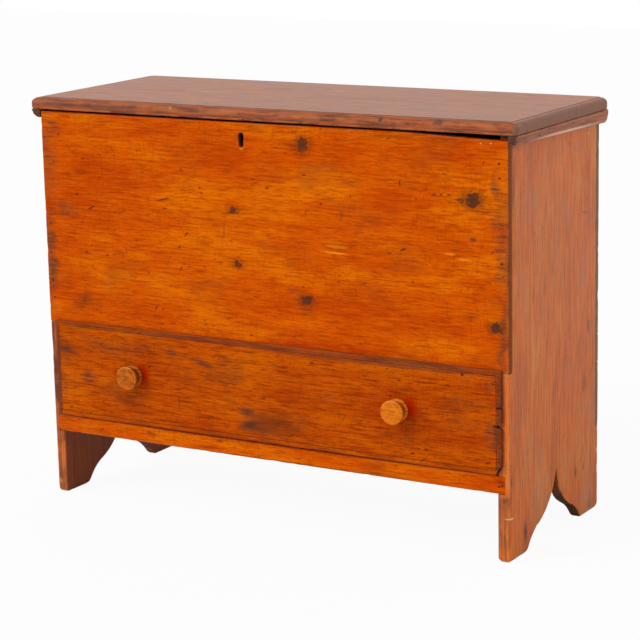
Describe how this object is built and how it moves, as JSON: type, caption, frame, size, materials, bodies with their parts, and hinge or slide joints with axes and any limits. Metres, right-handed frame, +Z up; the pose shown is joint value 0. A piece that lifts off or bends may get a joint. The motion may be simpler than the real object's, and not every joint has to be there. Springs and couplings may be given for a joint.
{
  "type": "mule chest",
  "caption": "Country mule chest of pine: a lidded well with a lock above a lipped drawer with turned knobs, on end boards cut to bootjack feet.",
  "frame": {"origin": "on the floor under the middle of the whole chest's box", "axes": "+X to the right along the length, +Y from the front to the back, +Z up"},
  "size_m": [0.9994, 0.412, 0.762],
  "materials": {
    "iron": "dark iron",
    "knob_wood": "turned wood, golden brown, polished by use",
    "pine_bare": "unfinished pine, darkened by age",
    "pine_drawer": "old brown-orange shellac over pine, worn on the moulded edge",
    "pine_front": "old orange-brown shellac over flat-sawn pine, worn and waxed",
    "pine_lid": "dusty brown finish over pine, with a soft sheen",
    "pine_side": "old pinkish-brown finish over pine with upright grain"
  },
  "bodies": {
    "case": {"back_board_lower": "pine_bare", "back_board_middle": "pine_bare", "back_board_upper": "pine_bare", "back_nail_left_1": "iron", "back_nail_left_2": "iron", "back_nail_left_3": "iron", "back_nail_left_4": "iron", "back_nail_right_1": "iron", "back_nail_right_2": "iron", "back_nail_right_3": "iron", "back_nail_right_4": "iron", "bottom_rail": "pine_front", "drawer_runner_left": "pine_bare", "drawer_runner_right": "pine_bare", "end_board_left": "pine_side", "end_board_right": "pine_side", "front_board": "pine_front", "front_nail_left_1": "iron", "front_nail_left_2": "iron", "front_nail_left_3": "iron", "front_nail_right_1": "iron", "front_nail_right_2": "iron", "front_nail_right_3": "iron", "hinge_case_leaf_left": "iron", "hinge_case_leaf_right": "iron", "hinge_case_screw_left_1": "iron", "hinge_case_screw_left_2": "iron", "hinge_case_screw_right_1": "iron", "hinge_case_screw_right_2": "iron", "hinge_pin_left": "iron", "hinge_pin_right": "iron", "lock_case": "iron", "rail_nail_left_1": "iron", "rail_nail_left_2": "iron", "rail_nail_right_1": "iron", "rail_nail_right_2": "iron", "well_floor": "pine_bare"},
    "lid": {"cleat_nail_left_1": "iron", "cleat_nail_left_2": "iron", "cleat_nail_right_1": "iron", "cleat_nail_right_2": "iron", "hinge_lid_leaf_left": "iron", "hinge_lid_leaf_right": "iron", "hinge_lid_screw_left_1": "iron", "hinge_lid_screw_left_2": "iron", "hinge_lid_screw_right_1": "iron", "hinge_lid_screw_right_2": "iron", "lid_board": "pine_lid", "lid_cleat_left": "pine_lid", "lid_cleat_right": "pine_lid", "lock_staple": "iron"},
    "drawer": {"drawer_back": "pine_bare", "drawer_bottom": "pine_bare", "drawer_front": "pine_drawer", "drawer_side_left": "pine_bare", "drawer_side_right": "pine_bare", "knob_left": "knob_wood", "knob_right": "knob_wood"},
    "bolt": {"lock_bolt": "iron"}
  },
  "joints": [
    {"name": "lid_hinge", "type": "hinge", "parent": "case", "child": "lid", "pos_m": [0, 0.20255, 0.7414], "axis": [-1, 0, 0], "range_deg": [0, 100]},
    {"name": "drawer_slide", "type": "slide", "parent": "case", "child": "drawer", "axis": [0, -1, 0], "range_m": [0, 0.28]},
    {"name": "lock_bolt_slide", "type": "slide", "parent": "case", "child": "bolt", "axis": [1, 0, 0], "range_m": [0, 0.01]}
  ]
}
